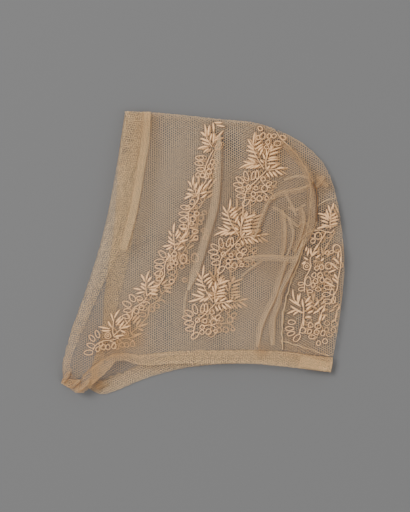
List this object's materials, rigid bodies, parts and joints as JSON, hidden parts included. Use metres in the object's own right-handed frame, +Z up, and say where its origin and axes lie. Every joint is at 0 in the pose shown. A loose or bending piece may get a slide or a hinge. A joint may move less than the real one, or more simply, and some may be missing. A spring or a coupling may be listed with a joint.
{
  "type": "tulle cap",
  "caption": "Soft tulle cap following the head, laid flat on its side, open at face and neck, with doubled hems and embroidered sprays.",
  "frame": {"origin": "on the surface that the cap lies on, under the middle of its outline", "axes": "+X from the face to the back of the head, +Y from the chin to the crown, +Z up from the far side to the near side"},
  "size_m": [0.2642, 0.2636, 0.0173],
  "materials": {
    "tulle": "matt cotton net, yellowed",
    "hem": "matt cotton net, doubled",
    "seam": "matt cotton, rolled and whipped",
    "embroidery": "soft cotton thread, slight sheen"
  },
  "bodies": {
    "root": {"side_net": "tulle", "back_panel": "tulle", "front_hem": "hem", "neck_hem": "hem", "gather_seam": "seam"}
  },
  "joints": []
}
